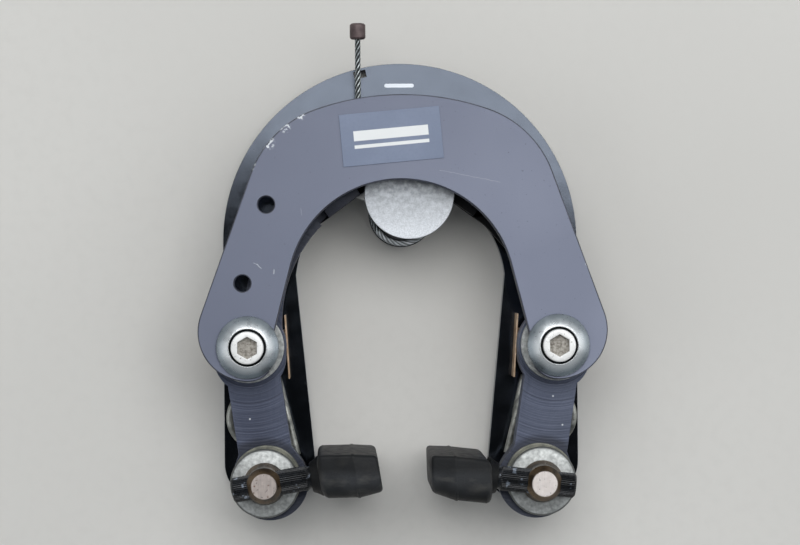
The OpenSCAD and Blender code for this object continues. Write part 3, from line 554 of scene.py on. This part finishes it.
# Rounded edges of the gloss black rear plate, painted pale as a painted reflection
surface(
    "black_edge_sheen", colour(70, 76, 88), colour(104, 111, 126), patch=0.15, grain=2.0, rough=(0.3, 0.45),
    bump=0.01, marks=lit_below)
surface(
    "label_film", colour(106, 118, 142), colour(118, 130, 154), patch=0.06, grain=1.4, rough=(0.3, 0.42),
    bump=0.01, marks=film_stripes)
surface(
    "cast_cap", colour(204, 209, 214), colour(232, 236, 242), patch=2.4, grain=5.0, rough=(0.42, 0.6),
    bump=0.02, marks=cap_shade, Metallic=0.25)
surface(
    "plated_washer", colour(146, 149, 148), colour(194, 197, 196), patch=0.9, grain=2.6, rough=(0.34, 0.5),
    bump=0.02, marks=washer_rim_shade, Metallic=0.5)
surface(
    "seat_steel", colour(98, 100, 93), colour(138, 138, 126), patch=0.4, grain=2.6, rough=(0.34, 0.5),
    bump=0.012, Metallic=0.5)
surface(
    "dome_steel", colour(138, 147, 153), colour(164, 173, 179), patch=0.2, grain=2.6, rough=(0.24, 0.36),
    bump=0.015, marks=dome_glow, Metallic=0.8)
surface(
    "bright_steel", colour(170, 172, 172), colour(214, 216, 216), patch=0.15, grain=3.0, rough=(0.25, 0.4),
    bump=0.01, specks=(colour(120, 112, 100), 1.4, 0.72), Metallic=0.8)
surface(
    "bolt_steel", colour(236, 237, 236), colour(250, 251, 250), patch=0.2, grain=3.0, rough=(0.25, 0.4),
    bump=0.01, specks=(colour(186, 184, 178), 1.4, 0.74), marks=socket_grime, Metallic=0.2)
surface(
    "spring_steel", colour(84, 86, 83), colour(182, 184, 178), patch=0.25, grain=2.0, rough=(0.25, 0.45),
    bump=0.02, Metallic=0.6)
surface(
    "cable_steel", colour(134, 141, 143), colour(194, 201, 202), patch=0.3, grain=3.0, rough=(0.2, 0.3),
    bump=0.01, Metallic=0.6)
surface(
    "wound_steel", colour(128, 133, 136), colour(196, 201, 204), patch=0.5, grain=3.0, rough=(0.3, 0.45),
    bump=0.01, Metallic=0.3)
# Darker copies of the cable steel, as painted shade on the core and every other strand
surface(
    "wound_shaded", colour(74, 78, 80), colour(118, 122, 124), patch=0.5, grain=3.0, rough=(0.4, 0.5),
    bump=0.01, Metallic=0.3)
surface(
    "shaded_strand", colour(24, 27, 28), colour(46, 50, 51), patch=0.5, grain=3.0, rough=(0.5, 0.6),
    bump=0.01, Specular_IOR_Level=0.1)
# Black for the right link, as painted shade where it lies in shadow
surface(
    "link_shade_black", colour(8, 9, 11), colour(15, 16, 19), patch=0.2, grain=3.0, rough=(0.5, 0.6),
    bump=0.01, Specular_IOR_Level=0.15)
surface(
    "bronze", colour(186, 154, 124), colour(238, 212, 182), patch=0.4, grain=2.0, rough=(0.3, 0.45),
    bump=0.02, Metallic=0.4)
surface(
    "brown_steel", colour(44, 36, 28), colour(100, 82, 60), patch=0.25, grain=2.0, rough=(0.25, 0.42),
    bump=0.02, marks=worn_and_lit_end, Metallic=0.5)
surface(
    "nipple_brown", colour(66, 54, 55), colour(100, 86, 86), patch=0.4, grain=2.4, rough=(0.35, 0.55),
    bump=0.02, Metallic=0.4)
surface(
    "post_black", colour(16, 18, 21), colour(32, 35, 40), patch=0.3, grain=3.0, rough=(0.22, 0.4),
    bump=0.01, marks=rubbed, Metallic=0.3)
surface(
    "pad_rubber", colour(34, 36, 38), colour(52, 54, 57), patch=0.12, grain=2.0, rough=(0.42, 0.6),
    bump=0.06, marks=dust_and_shade, Specular_IOR_Level=0.2)
# Both arms are the same anodised metal; the left is darker as painted shade and the right lighter
ARM_LIT_TONES = {
    "left": (colour(62, 68, 86), colour(76, 83, 103)),
    "right": (colour(74, 81, 99), colour(90, 97, 117)),
}
for side in SIDES:
    surface(
        side + "_arm_anodised", *ARM_LIT_TONES[side], patch=0.05, grain=3.0, rough=(0.38, 0.5),
        bump=0.02, specks=(colour(160, 166, 178), 0.8, 0.82), marks=milling_and_shade(side), Metallic=0.25)
surface(
    "arm_edge", colour(44, 48, 62), colour(104, 110, 130), patch=0.15, grain=3.0, rough=(0.3, 0.45),
    bump=0.02, Metallic=0.4)

SHARP = math.radians(35)


def mesh_of(name, bm):
    """A mesh with smooth shading up to an angle."""
    bmesh.ops.recalc_face_normals(bm, faces=bm.faces)
    for face in bm.faces:
        face.smooth = True
    mesh = bpy.data.meshes.new(name)
    bm.to_mesh(mesh)
    bm.free()
    mesh.set_sharp_from_angle(angle=SHARP)
    mesh.transform(Matrix.Scale(MM, 4))
    return mesh


def piece(node, bm, materials, rides=True):
    """The piece that stands for a CAD node, on that node's body and with its slot."""
    name = node + "_piece"
    obj = bpy.data.objects.new(name, mesh_of(name, bm))
    scene.collection.objects.link(obj)
    for material in materials:
        obj.data.materials.append(finishes[material])
    if rides:
        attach(obj, body_of[node])
    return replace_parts(obj, node)


WELD = 0.001
FLAT = math.radians(0.4)
BEVEL_FROM = math.radians(32)
BEVEL_STEPS = 3


def dress(node, material, bevel, edge=None):
    """A CAD node's own shape with rounded edges, which catch the light and may have a finish of their own."""
    bm = bmesh.new()
    bm.from_mesh(frame["nodes"][node].data)
    bmesh.ops.scale(bm, vec=(1 / MM,) * 3, verts=bm.verts)
    bmesh.ops.remove_doubles(bm, verts=bm.verts, dist=WELD)
    bmesh.ops.dissolve_limit(bm, angle_limit=FLAT, verts=bm.verts, edges=bm.edges)
    obj = piece(node, bm, [material, edge] if edge else [material])
    rounding = obj.modifiers.new("rounding", "BEVEL")
    rounding.width = bevel * MM
    rounding.segments = BEVEL_STEPS
    rounding.limit_method = "ANGLE"
    rounding.angle_limit = BEVEL_FROM
    rounding.harden_normals = True
    rounding.material = 1 if edge else -1
    return obj


def bridge(bm, lower, upper):
    """Faces between two rings of the same count."""
    count = len(lower)
    for index in range(count):
        after = (index + 1) % count
        bm.faces.new((lower[index], lower[after], upper[after], upper[index]))


def loft(bm, rings):
    """Closed skin over rings of points, with flat ends."""
    made = [[bm.verts.new(point) for point in ring] for ring in rings]
    for lower, upper in zip(made, made[1:]):
        bridge(bm, lower, upper)
    bm.faces.new(made[0])
    bm.faces.new(made[-1])


def frames(path):
    """Each point of a path with two directions across it, carried on from point to point."""
    last = len(path) - 1
    across = (path[1] - path[0]).orthogonal()
    for index, point in enumerate(path):
        along = (path[min(index + 1, last)] - path[max(index - 1, 0)]).normalized()
        across = (across - along * across.dot(along)).normalized()
        yield point, across, along.cross(across)


def circle(count):
    """Cosine and sine of even steps round a turn."""
    return [(math.cos(math.tau * step / count), math.sin(math.tau * step / count)) for step in range(count)]


def sweep(bm, path, radius, sides):
    """Round tube along a path."""
    loft(bm, [
        [point + radius * (c * across + s * over) for c, s in circle(sides)]
        for point, across, over in frames(path)])


STRANDS = 8
STRAND_LAY = 6.3
STRAND_FILL = 0.95
STRAND_SIDES = 8
CORE_FILL = 0.9
CORE_SIDES = 10


def strand_cable(path, diameter):
    """Twisted strands round a core, along a path; the core and every other strand take a darker finish as
    painted shade.
    """
    bm = bmesh.new()
    packing = math.sin(math.pi / STRANDS)
    offset = diameter / 2 / (1 + packing)
    done = [0.0]
    for before, after in zip(path, path[1:]):
        done.append(done[-1] + (after - before).length)
    guides = list(frames(path))

    def lay_strands(first):
        for strand in range(first, STRANDS, 2):
            turned = [math.tau * (strand / STRANDS + length / STRAND_LAY) for length in done]
            line = [
                point + offset * (math.cos(turn) * across + math.sin(turn) * over)
                for (point, across, over), turn in zip(guides, turned)]
            sweep(bm, line, offset * packing * STRAND_FILL, STRAND_SIDES)

    sweep(bm, path, offset * CORE_FILL, CORE_SIDES)
    lay_strands(1)
    # The core and the strands laid so far take the darker second finish, as painted shade
    for face in bm.faces:
        face.material_index = 1
    lay_strands(0)
    return bm


# Pieces that keep the shape of their node, with their finish and the width of their rounded edges
dress("rear_plate", "black_enamel", 0.4, "black_edge_sheen")
dress("front_plate", "front_anodised", 0.3, "front_edge_shade")
dress("front_label", "label_film", 0.05)
for node, material, bevel in (
    ("drum_axle", "bright_steel", 0.25), ("drum_screw", "bright_steel", 0.25),
    ("cable_drum", "post_black", 0.15), ("drum_cam", "bright_steel", 0.3),
    ("cam_screws", "bright_steel", 0.15), ("drum_cap", "cast_cap", 0.3),
    ("cable_anchor", "bright_steel", 0.35),
):
    dress(node, material, bevel)
# The right link is black as painted shade; the left has the arm's anodised finish
LINK_FINISH = {"left": "left_arm_anodised", "right": "link_shade_black"}
for side in SIDES:
    dress(side + "_arm", side + "_arm_anodised", 0.35, "arm_edge")
    for name, material, bevel in (
        ("pivot_sleeve", "bright_steel", 0.3), ("pivot_bolt", "bolt_steel", 0.2),
        ("dome_washer", "dome_steel", 0.25), ("spacer_washer", "plated_washer", 0.2),
        ("thrust_block", "bronze", 0.12), ("spring_post", "bright_steel", 0.3),
        ("spring_anchor", "bright_steel", 0.3), ("arm_bush", "bronze", 0.2),
        ("roller_link", LINK_FINISH[side], 0.3),
        ("link_rivets", "bright_steel", 0.25), ("roller_pin", "bright_steel", 0.2),
        ("roller", "bright_steel", 0.3), ("spring_peg", "bright_steel", 0.3),
        ("seat_washer", "seat_steel", 0.3), ("pad_washer", "plated_washer", 0.35),
        ("eyebolt", "brown_steel", 0.25),
        ("lock_washer", "plated_washer", 0.25), ("eyebolt_nut", "bright_steel", 0.4),
    ):
        dress(side + "_" + name, material, bevel)


# Pad posts, splined up to a smooth neck in front of the pad
SPLINES = 40
SPLINE_POINTS = 3
SPLINE_DEPTH = 0.22
SPLINE_END = 0.6
POST_CHAMFER = 0.5
NECK_L = 3.1
NECK_SLIM = 0.35
NECK_LIP = 0.1
NECK_LIP_L = 0.3
POST_IN_PAD = 2.95


def post_line(side):
    """Middle of a pad post, its direction towards the rim, its radius and its half length."""
    centre = middle(side + "_pad_post")
    along = centre - middle(side + "_eyebolt")
    along.z = 0
    along.normalize()
    low, high = corners(side + "_pad_post")
    radius = (high.z - low.z) / 2
    half = ((high.x - low.x) - 2 * radius * abs(along.y)) / abs(along.x) / 2
    return centre, along, radius, half


def splined_ring(centre, along, radius, depth):
    """Ring with flat crests and sharp valleys."""
    side = along.cross(UP)
    ring = []
    for step, (c, s) in enumerate(circle(SPLINE_POINTS * SPLINES)):
        reach = radius - depth if step % SPLINE_POINTS == 0 else radius
        ring.append(centre + reach * (c * side + s * UP))
    return ring


for side in SIDES:
    centre, along, radius, half = post_line(side)
    neck = half - POST_IN_PAD - NECK_L
    slim = radius - NECK_SLIM
    bm = bmesh.new()
    loft(bm, [
        splined_ring(centre + at * along, along, reach, depth) for at, reach, depth in (
            (-half, radius - POST_CHAMFER, 0.0), (POST_CHAMFER - half, radius, SPLINE_DEPTH),
            (neck - SPLINE_END, radius, SPLINE_DEPTH), (neck, slim + NECK_LIP, 0.0),
            (neck + NECK_LIP_L, slim, 0.0), (half, slim, 0.0))])
    piece(side + "_pad_post", bm, ["post_black"])

# Rubber pads: rings of a rounded rectangle from base to rubbing face, and a collar round the post
PAD_H = 11.2
PAD_DEPTH = 15.3
PAD_SKEW = math.tan(math.radians(8))
CORNER_STEPS = 8
TOP_CORNER = 1.0
BOTTOM_CORNER = 4.2
# Depth from the base, then how far the top, the bottom and the ends draw in
PAD_RINGS = (
    (0.0, 1.9, 1.9, 1.8), (0.3, 1.0, 1.0, 0.9), (0.8, 0.35, 0.35, 0.35), (1.5, 0.0, 0.0, 0.0),
    (8.75, 0.0, 0.0, 0.0), (9.0, -0.16, -0.16, -0.14), (9.4, -0.16, -0.16, -0.14), (9.65, 0.0, 0.0, 0.0),
    (14.4, 0.35, 1.1, 0.2), (14.9, 0.55, 1.35, 0.5), (15.15, 0.8, 1.6, 0.9), (PAD_DEPTH, 1.2, 2.0, 1.4),
)
COLLAR_SIDES = 48
# Distance from the base, then the radius
COLLAR = (
    (-2.4, 3.25), (-2.4, 3.7), (-2.2, 3.95), (-1.8, 4.1), (-1.2, 4.4), (-0.6, 4.8), (-0.1, 5.2), (0.5, 5.2))


def rounded_rectangle(low, high, half):
    """Points of a rectangle with round corners, the lower ones broad, as height and length."""
    top, bottom = high - TOP_CORNER, low + BOTTOM_CORNER
    points = []
    for quarter, (y, z, corner) in enumerate((
        (top, half - TOP_CORNER, TOP_CORNER), (bottom, half - BOTTOM_CORNER, BOTTOM_CORNER),
        (bottom, BOTTOM_CORNER - half, BOTTOM_CORNER), (top, TOP_CORNER - half, TOP_CORNER),
    )):
        for step in range(CORNER_STEPS + 1):
            turn = math.pi / 2 * (quarter + step / CORNER_STEPS)
            points.append((y + corner * math.cos(turn), z + corner * math.sin(turn)))
    return points


def skewed(side, depth, y):
    """Depth and height in a pad, leaning as its wear has left it."""
    if side == "left":
        return depth, y - PAD_SKEW * (depth - PAD_DEPTH / 2)
    return depth + PAD_SKEW * y, y


for side in SIDES:
    centre, along, _, half = post_line(side)
    low, high = corners(side + "_brake_pad")
    base = centre + (half - POST_IN_PAD) * along
    over = UP.cross(along) if along.x > 0 else along.cross(UP)
    rings = []
    for depth, top, bottom, ends in PAD_RINGS:
        ring = []
        for y, z in rounded_rectangle(bottom - PAD_H / 2, PAD_H / 2 - top, (high.z - low.z) / 2 - ends):
            leaning, rise = skewed(side, depth, y)
            ring.append(base + leaning * along + rise * over + z * UP)
        rings.append(ring)
    bm = bmesh.new()
    loft(bm, rings)
    loft(bm, [
        [base + at * along + reach * (c * over + s * UP) for c, s in circle(COLLAR_SIDES)]
        for at, reach in COLLAR])
    piece(side + "_brake_pad", bm, ["pad_rubber"])

# Return springs, whose lower leg reaches down to the peg on the arm
WIRE_D = 1.8
WIRE_SIDES = 20
COIL_R = 7.6
COILS = 2
COIL_STEPS = 40
LEG_TILT = math.radians(14)
LEG_PAST = 1.0
LEG_STEPS = 12
BEND_RISE = 2.0

for side in SIDES:
    node = side + "_return_spring"
    facing = 1 if side == "left" else -1
    low, high = corners(node)
    bottom, top = low.z + WIRE_D / 2, high.z - WIRE_D / 2
    coil, anchor, peg = (
        middle(side + name).xy.to_3d() for name in ("_spring_post", "_spring_anchor", "_spring_peg"))
    out = Vector((facing * math.cos(LEG_TILT), math.sin(LEG_TILT), 0))
    down = Vector((facing * math.sin(LEG_TILT), -math.cos(LEG_TILT), 0))
    touch = coil + COIL_R * out
    upper_leg = (coil - anchor).dot(down) + LEG_PAST
    lower_leg = (peg - coil).dot(down) + LEG_PAST
    path = [touch - upper_leg * (1 - step / LEG_STEPS) * down + bottom * UP for step in range(LEG_STEPS)]
    for step in range(COILS * COIL_STEPS + 1):
        turn = math.tau * step / COIL_STEPS
        height = bottom + (top - bottom) * step / (COILS * COIL_STEPS)
        path.append(coil + COIL_R * (math.cos(turn) * out + math.sin(turn) * down) + height * UP)
    path += [touch + lower_leg * (step + 1) / LEG_STEPS * down + top * UP for step in range(LEG_STEPS)]
    bm = bmesh.new()
    sweep(bm, path, WIRE_D / 2, WIRE_SIDES)
    spring = piece(node, bm, ["spring_steel"], rides=False)
    lean = down + BEND_RISE * UP
    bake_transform(spring)

# Cable: the turns on the drum, and a tail that lies on the drum, sways behind the plate and ends upright
WIND_TURNS = 1.75
WIND_STEPS = 210
LIE_TURN = math.radians(32)
LIE_STEPS = 8
DRUM_TURN = math.radians(30)
TAIL_STEPS = 150
TAIL_X = -11.1
TAIL_STRAIGHT_Y = 63.0
NIPPLE_BEVEL = 0.1
drum = middle("drum_axle")
tail_low, tail_high = corners("cable_tail")
tail_z = (tail_low.z + tail_high.z) / 2
CABLE_D = tail_high.z - tail_low.z
tail_up = next(Vector(joint["axis"]) for joint in behaviour["joints"] if joint["name"] == "cable_slide")
wind_r = next(pair["ratio"] for pair in behaviour["couplings"] if pair["joint"] == "cable_slide") / MM
wind_out = UP.cross(tail_up)
wind_bottom = corners("cable_winding")[0].z + CABLE_D / 2
wind_drop = (tail_z - wind_bottom) / (WIND_TURNS * math.tau)


def on_drum(turn):
    """Point of the winding, a turn after the place where the tail meets the drum."""
    reach = wind_r * (math.cos(turn) * wind_out - math.sin(turn) * tail_up)
    return Vector((drum.x + reach.x, drum.y + reach.y, tail_z - wind_drop * turn))


wound = WIND_TURNS * math.tau - DRUM_TURN
wind_path = [on_drum(DRUM_TURN + wound * step / WIND_STEPS) for step in range(WIND_STEPS + 1)]
piece("cable_winding", strand_cable(wind_path, CABLE_D), ["wound_steel", "wound_shaded"])
tail_foot = on_drum(0)
tail_end = tail_foot + (tail_high.y - tail_foot.y) / tail_up.y * tail_up
tail_path = [on_drum(LIE_TURN * (1 - step / LIE_STEPS)) for step in range(LIE_STEPS)]
sway = TAIL_STRAIGHT_Y - tail_foot.y
for step in range(TAIL_STEPS + 1):
    y = tail_foot.y + (tail_end.y - tail_foot.y) * step / TAIL_STEPS
    share = min((y - tail_foot.y) / sway, 1.0)
    lean = share * (1 - share) ** 2 * sway * tail_up.x / tail_up.y
    over = share ** 2 * (3 - 2 * share) * (TAIL_X - tail_foot.x)
    tail_path.append(Vector((tail_foot.x + lean + over, y, tail_z)))
cable = piece("cable_tail", strand_cable(tail_path, CABLE_D), ["cable_steel", "shaded_strand"], rides=False)
nipple = dress("cable_nipple", "nipple_brown", NIPPLE_BEVEL)
upright = tail_up.rotation_difference(Vector((0, 1, 0))).to_matrix().to_4x4()
nipple.data.transform(
    Matrix.Translation(tail_path[-1] * MM) @ upright @ Matrix.Translation(-tail_end * MM))
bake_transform(cable)

# Floor, soft light and the camera above the part
FLOOR_HALF = 6.0
FLOOR_DROP = 0.0001
floor_mesh = bpy.data.meshes.new("floor")
bm = bmesh.new()
bmesh.ops.create_grid(bm, x_segments=1, y_segments=1, size=FLOOR_HALF)
bm.to_mesh(floor_mesh)
bm.free()
floor = bpy.data.objects.new("floor", floor_mesh)
floor.location.z = cad_box[0].z - FLOOR_DROP
scene.collection.objects.link(floor)
surface(
    "floor_pale", colour(205, 204, 200), colour(214, 213, 209), patch=0.004, grain=0.3, rough=(0.8, 0.9),
    bump=0.0)
floor_mesh.materials.append(finishes["floor_pale"])


def lamp(name, place, aim, width, height, watts):
    """A soft panel of light, aimed at a point, in metres."""
    data = bpy.data.lights.new(name, "AREA")
    data.shape = "RECTANGLE"
    data.size, data.size_y = width, height
    data.energy = watts
    obj = bpy.data.objects.new(name, data)
    obj.location = place
    obj.rotation_euler = (Vector(aim) - Vector(place)).to_track_quat("-Z", "Y").to_euler()
    scene.collection.objects.link(obj)


lamp("overhead_panel", (0.05, 0.365, 0.78), (0.0, 0.065, 0.0), width=1.0, height=0.62, watts=5.8)
lamp("left_panel", (-0.8, -0.1, 0.6), (0.0, 0.0, 0.0), width=0.6, height=0.8, watts=1.0)
lamp("right_panel", (0.8, 0.1, 0.6), (0.0, 0.0, 0.0), width=0.6, height=0.8, watts=1.6)

# The room is dark right overhead and paler towards the walls
SKY_COLOUR = (0.92, 0.96, 1.0, 1.0)
SKY_FADE = {"From Min": 0.7, "From Max": 0.93, "To Min": 0.4, "To Max": 0.02}
world = bpy.data.worlds.new("studio")
world.use_nodes = True
sky = world.node_tree
height = sky.nodes.new("ShaderNodeSeparateXYZ")
sky.links.new(sky.nodes.new("ShaderNodeTexCoord").outputs["Generated"], height.inputs[0])
fall = sky.nodes.new("ShaderNodeMapRange")
sky.links.new(height.outputs[2], fall.inputs["Value"])
for socket, value in SKY_FADE.items():
    fall.inputs[socket].default_value = value
sky.links.new(fall.outputs[0], sky.nodes["Background"].inputs["Strength"])
sky.nodes["Background"].inputs["Color"].default_value = SKY_COLOUR
scene.world = world
scene.view_settings.view_transform = "Standard"

CAMERA_AT = Vector((-17.33, 19.41, 627.47))
CAMERA_TURN = (-0.027, -1.583, -0.414)
SENSOR_W = 36.0
IMAGE_W = 800
FOCAL_PX = 2340
camera_data = bpy.data.cameras.new("camera")
camera_data.sensor_fit = "HORIZONTAL"
camera_data.sensor_width = SENSOR_W
camera_data.lens = FOCAL_PX * SENSOR_W / IMAGE_W
camera = bpy.data.objects.new("camera", camera_data)
camera.location = CAMERA_AT * MM
camera.rotation_euler = [math.radians(turn) for turn in CAMERA_TURN]
scene.collection.objects.link(camera)
scene.camera = camera
